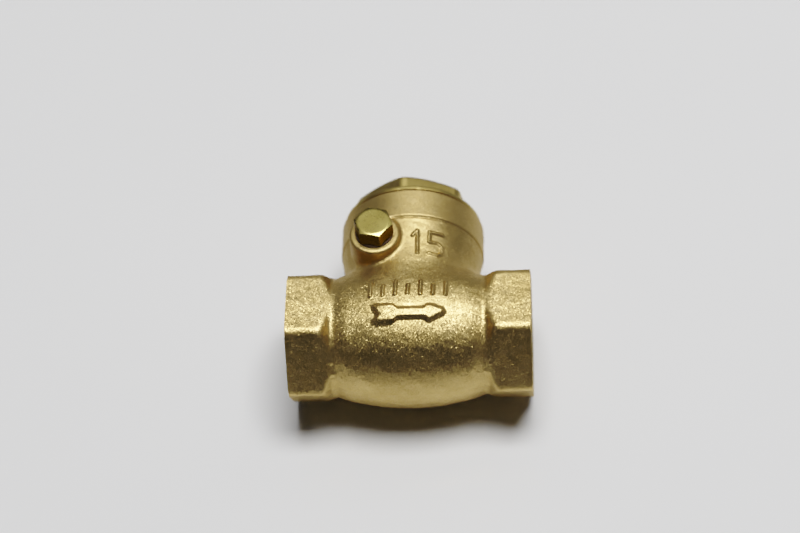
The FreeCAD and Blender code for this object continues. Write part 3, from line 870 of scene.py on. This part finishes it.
def rubber():
    m = Mat("rubber_nbr")
    col = m.mix(m.range(m.noise(1.2, 3.0), 0.35, 0.7, 0.0, 1.0), (0.018, 0.018, 0.019), (0.034, 0.033, 0.032))
    n = m.bump(m.noise(0.25, 3.0, 0.6), 0.35, 0.05)
    n = m.bump(m.turning("X", 0.5), 0.2, 0.05, n)
    return m.done(Base_Color=col, Roughness=m.range(m.noise(0.8, 2.0), 0.3, 0.7, 0.5, 0.68), Normal=n)


def gasket_sheet():
    """Pressed fibre sheet, red-brown, with short pale fibres."""
    m = Mat("gasket_fibre")
    fibre = m.noise(0.35, 4.0, 0.65)
    col = m.mix(m.range(fibre, 0.35, 0.68, 0.0, 1.0), (0.055, 0.030, 0.014), (0.11, 0.064, 0.034))
    n = m.bump(m.noise(0.18, 3.0, 0.7), 0.6, 0.06)
    return m.done(Base_Color=col, Roughness=m.range(m.noise(0.6), 0.3, 0.7, 0.66, 0.82), Specular_IOR_Level=0.25, Normal=n)


# ------------------------------------------------------------------ the pieces, each on its CAD body
def place(ob, body, nodes, mats):
    ob.data.materials.clear()
    for k in mats:
        ob.data.materials.append(k)
    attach(ob, body)
    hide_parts(*nodes)
    return ob


cast, cored = brass_cast(), brass_cored()
machined = brass_turned("brass_machined", "XZ", strength=0.1)
inner_x = brass_turned("brass_turned_x", "X", line=0.12)
cap_skin = brass_turned("brass_cap", "Z", (0.62, 0.475, 0.165), (0.52, 0.39, 0.13), (0.34, 0.44), 0.14, 0.14)
cap_thread = brass_turned("brass_cap_thread", "Z")
plug_skin = brass_turned("brass_plug", "Y", (0.58, 0.475, 0.15), (0.50, 0.40, 0.12), (0.24, 0.34), 0.10, 0.2)
arm_skin, iron, black, fibre = brass_cored(), steel(), rubber(), gasket_sheet()
arm_skin.name = "brass_arm"

place(assemble_body(), "body", ["valve_body"], [cast, machined, cored])
place(build_cap(), "bonnet", ["bonnet_cap"], [cap_skin, cap_thread])
place(ring("gasket_sheet", "Z", (0, 0, 0), rect(27.055, 27.445, 13.15, 14.45, 0.12), 160, 0.02),
      "gasket_ring", ["bonnet_gasket"], [fibre])
place(build_plug(), "plug", ["pin_plug"], [plug_skin])
place(ring("plug_seal_ring", "Y", (PIN_X, 0, PIN_Z), rect(BOSS_Y - 0.395, BOSS_Y - 0.005, 3.02, 3.98, 0.12), 96, 0.01),
      "plug_ring", ["plug_seal"], [fibre])
place(tidy(lathe("hinge_pin_ground", "Y", (PIN_X, 0, PIN_Z),
                 soften([(-11.85, 1.15), (-11.55, 1.5), (-6, 1.5), (0, 1.5), (6, 1.5), (11.8, 1.5), (12.1, 1.15)], 0.12), 64), 40),
      "body", ["hinge_pin"], [iron])
place(build_arm(), "hanger", ["hanger_arm"], [arm_skin])
place(build_disc(), "flap", ["disc"], [inner_x])
place(ring("disc_seal_moulded", "X", (0, 0, 0),
           soften([(-7.995, 1.7), (-7.995, 6.0), (-7.96, 6.4), (-7.96, 7.55), (-7.85, 7.88), (-6.51, 7.88), (-6.51, 1.7)], 0.15, True)),
      "flap", ["disc_seal"], [black])
place(ring("seal_plate_turned", "X", (0, 0, 0), soften([(-8.79, 1.6), (-8.79, 4.3), (-8.5, 4.6), (-8.0, 4.6), (-8.0, 1.6)], 0.12, True)),
      "flap", ["seal_plate"], [inner_x])
place(build_screw(), "flap", ["seal_screw"], [iron])
place(ring("disc_washer_stamped", "X", (0, 0, 0), rect(-3.395, -2.905, 2.05, 3.4, 0.1)),
      "flap", ["disc_washer"], [inner_x])
place(build_nut(), "flap", ["disc_nut"], [inner_x])


# ------------------------------------------------------------------ camera
CAM_AT = (0.032164, -0.433172, -0.319209)


def camera():
    f = 2600.0
    al, yaw, roll = math.radians(36.31), math.radians(4.25), math.radians(-1.09)
    c = np.array([math.sin(yaw) * math.cos(al), -math.cos(yaw) * math.cos(al), -math.sin(al)])
    fwd = -c
    up0 = np.array([0, 0, 1.0]) - fwd * fwd[2]
    up0 /= np.linalg.norm(up0)
    right0 = np.cross(fwd, up0)
    up = math.cos(roll) * up0 + math.sin(roll) * right0
    right = math.cos(roll) * right0 - math.sin(roll) * up0
    d = np.array([(411.25 - 400) / f, -(336.51 - 266.5) / f, 1.0])
    d /= np.linalg.norm(d)
    v = np.cross([0, 0, 1.0], d)
    k = np.array([[0, -v[2], v[1]], [v[2], 0, -v[0]], [-v[1], v[0], 0]])
    rm = np.eye(3) + k + k @ k / (1 + d[2])
    rows = rm @ np.stack([right, up, fwd])
    data = bpy.data.cameras.new("camera")
    ob = bpy.data.objects.new("camera", data)
    bpy.context.scene.collection.objects.link(ob)
    data.sensor_width = 36.0
    data.lens = f / 800 * 36.0
    data.clip_start, data.clip_end = 0.01, 50.0
    m = np.eye(4)
    m[:3, 0], m[:3, 1], m[:3, 2] = rows[0], rows[1], -rows[2]
    m[:3, 3] = CAM_AT
    from mathutils import Matrix
    ob.matrix_world = Matrix(m.tolist())
    bpy.context.scene.camera = ob
    return ob


cam = camera()


# ------------------------------------------------------------------ two stages: the photo's table, and a floor under the upright valve
def switch(block, path, main, other, index=-1):
    """main while the camera stands at the photo's place, other when it has been moved round the object."""
    fc = block.driver_add(path, index) if index >= 0 else block.driver_add(path)
    d = fc.driver
    d.type = "SCRIPTED"
    for name, i in (("cx", 0), ("cz", 2)):
        v = d.variables.new()
        v.name = name
        v.targets[0].id = cam
        v.targets[0].data_path = "location[%d]" % i
    d.expression = "%r if abs(cx - %r) < 0.0001 and abs(cz - %r) < 0.0001 else %r" % (main, CAM_AT[0], CAM_AT[2], other)


def table_material(name, col, rough, axis):
    m = Mat(name)
    c = m.mix(m.range(m.noise(60.0, 3.0), 0.3, 0.7, 0.0, 1.0), col, tuple(k * 0.985 for k in col))
    if axis == "Y":
        # the sheet falls off in shade to either side, as the metal mirrors it
        # painted shade on the sheet, seen only in the metal's reflections: darker to either side, and in front of the
        # valve
        x, y, z = m.xyz()
        side = m.math("MULTIPLY", m.range(m.math("ABSOLUTE", x), 0.03, 0.12, 0.0, 1.0), m.range(z, -0.03, 0.01, 0.0, 1.0))
        side = m.math("MULTIPLY", side, m.n("LightPath").outputs["Is Glossy Ray"])
        front = m.math("MULTIPLY", m.range(z, -0.028, -0.045, 0.0, 0.16), m.n("LightPath").outputs["Is Glossy Ray"])
        c = m.gain(c, m.math("SUBTRACT", m.math("SUBTRACT", 1.0, m.math("MULTIPLY", side, 0.45)), front))
    n = m.bump(m.noise(2.0, 2.0), 0.02, 0.02)
    glow = 0.0
    if axis == "Z":
        # the floor runs out into the pale backdrop
        far = m.math("SUBTRACT", m.vec("LENGTH", m.pos), 0.35)
        far = m.n("MapRange", {0: far, 1: 0.0, 2: 0.9, 3: 0.0, 4: 1.0}, clamp=True, interpolation_type="SMOOTHSTEP").outputs[0]
        far = m.math("MULTIPLY", far, m.n("LightPath").outputs["Is Camera Ray"])
        c = m.gain(c, m.math("SUBTRACT", 1.0, far))
        glow = m.math("MULTIPLY", far, 1.15)
    return m.done(Base_Color=c, Roughness=m.range(m.noise(40.0, 2.0), 0.3, 0.7, rough, rough + 0.05), Specular_IOR_Level=0.35,
                  Emission_Color=(1.0, 1.0, 1.0), Emission_Strength=glow, Normal=n)


def plane(name, size, corner, u, v, mat):
    p = [np.array(corner) + a * np.array(u) * size + b * np.array(v) * size
         for a, b in ((-1, -1), (1, -1), (1, 1), (-1, 1))]
    me = bpy.data.meshes.new(name)
    me.from_pydata([tuple(map(float, q)) for q in p], [], [(0, 1, 2, 3)])
    ob = bpy.data.objects.new(name, me)
    bpy.context.scene.collection.objects.link(ob)
    me.materials.append(mat)
    return ob


def area(name, at, aim, sx, sy, watts, other, colour=(1, 1, 1)):
    data = bpy.data.lights.new(name, "AREA")
    data.shape, data.size, data.size_y, data.color = "RECTANGLE", sx, sy, colour
    ob = bpy.data.objects.new(name, data)
    bpy.context.scene.collection.objects.link(ob)
    from mathutils import Vector
    ob.location = at
    ob.rotation_mode = "QUATERNION"
    ob.rotation_quaternion = (Vector(aim) - Vector(at)).to_track_quat("-Z", "Y")
    switch(data, "energy", watts, other)
    return ob


table = plane("table", 1.5, (0, 0, 1.434), (1, 0, 0), (0, 0, 1), table_material("table_white", (0.80, 0.80, 0.805), 0.16, "Y"))
switch(table, "location", 0.0151, 40.0, 1)
floor = plane("floor", 2.5, (0, 0, 0), (1, 0, 0), (0, 1, 0), table_material("floor_white", (0.78, 0.78, 0.78), 0.55, "Z"))
switch(floor, "location", -40.0, -0.01502, 2)

# the photo's light: one soft box almost straight above the table
area("key", (0.147, -1.2, 0.087), (0, 0, 0), 0.68, 0.50, 20.2, 0.0)
# and a weaker glow from beyond it, on the bonnet's side
area("glow", (0.1, -0.93, 0.80), (0, 0, 0), 1.7, 0.5, 1.45, 0.0)
# the same valve stood upright, lit evenly all round
area("upright_top", (0.1, -0.1, 0.9), (0, 0, 0), 0.7, 0.7, 0.0, 7.0)
area("upright_front", (0.35, -0.8, 0.35), (0, 0, 0), 0.6, 0.5, 0.0, 5.0)
area("upright_back", (-0.6, 0.7, 0.4), (0, 0, 0), 0.6, 0.5, 0.0, 5.0)
area("upright_side", (0.9, 0.25, 0.3), (0, 0, 0), 0.5, 0.5, 0.0, 3.5)

world = bpy.data.worlds.new("world")
bpy.context.scene.world = world
world.use_nodes = True
wt = world.node_tree
wt.nodes.clear()


def wn(kind, ins=None, **props):
    node = wt.nodes.new("ShaderNode" + kind)
    for k, v in props.items():
        setattr(node, k, v)
    for k, v in (ins or {}).items():
        if isinstance(v, bpy.types.NodeSocket):
            wt.links.new(v, node.inputs[k])
        else:
            node.inputs[k].default_value = v
    return node


# low pale walls beyond the table, none on the viewer's side, where the room is dark
way = wn("SeparateXYZ", {0: wn("TexCoord").outputs["Generated"]}).outputs
low = wn("MapRange", {0: way[1], 1: -0.55, 2: -0.02, 3: 0.0, 4: 1.0}, interpolation_type="SMOOTHSTEP").outputs[0]
far = wn("MapRange", {0: way[2], 1: -0.25, 2: 0.5, 3: 0.0, 4: 1.0}, interpolation_type="SMOOTHSTEP").outputs[0]
wall = wn("Math", {0: low, 1: far}, operation="MULTIPLY").outputs[0]
wall = wn("Math", {0: wall, 1: 0.10, 2: 0.012}, operation="MULTIPLY_ADD").outputs[0]
photo_back = wn("Background", {0: (1.0, 1.0, 1.0, 1.0), 1: wall})
# the upright valve's backdrop is paler than the light it gives
seen = wn("Math", {0: wn("LightPath").outputs["Is Camera Ray"], 1: 0.87, 2: 0.28}, operation="MULTIPLY_ADD").outputs[0]
even_back = wn("Background", {0: (1.0, 1.0, 1.0, 1.0), 1: seen})
both = wn("MixShader", {1: photo_back.outputs[0], 2: even_back.outputs[0]})
wt.links.new(both.outputs[0], wn("OutputWorld").inputs[0])
switch(wt, 'nodes["%s"].inputs[0].default_value' % both.name, 0.0, 1.0)

focus = bpy.data.objects.new("focus", None)
bpy.context.scene.collection.objects.link(focus)
focus.location = (0.0, -0.0135, -0.005)
cam.data.dof.use_dof = True
cam.data.dof.focus_object = focus
switch(cam.data, "dof.aperture_fstop", 11.0, 90.0)
bpy.context.scene.view_settings.view_transform = "Standard"
bpy.context.scene.view_settings.look = "None"
# a camera's soft shoulder: highlights roll off gently
vs = bpy.context.scene.view_settings
vs.use_curve_mapping = True
cm = vs.curve_mapping
cm.white_level = (3.0, 3.0, 3.0)
curve = cm.curves[3]
for x, y in ((0.018, 0.043), (0.043, 0.132), (0.1, 0.30), (0.1667, 0.44), (0.25, 0.575), (0.333, 0.68), (0.467, 0.80), (0.667, 0.91)):
    curve.points.new(x, y)
cm.update()
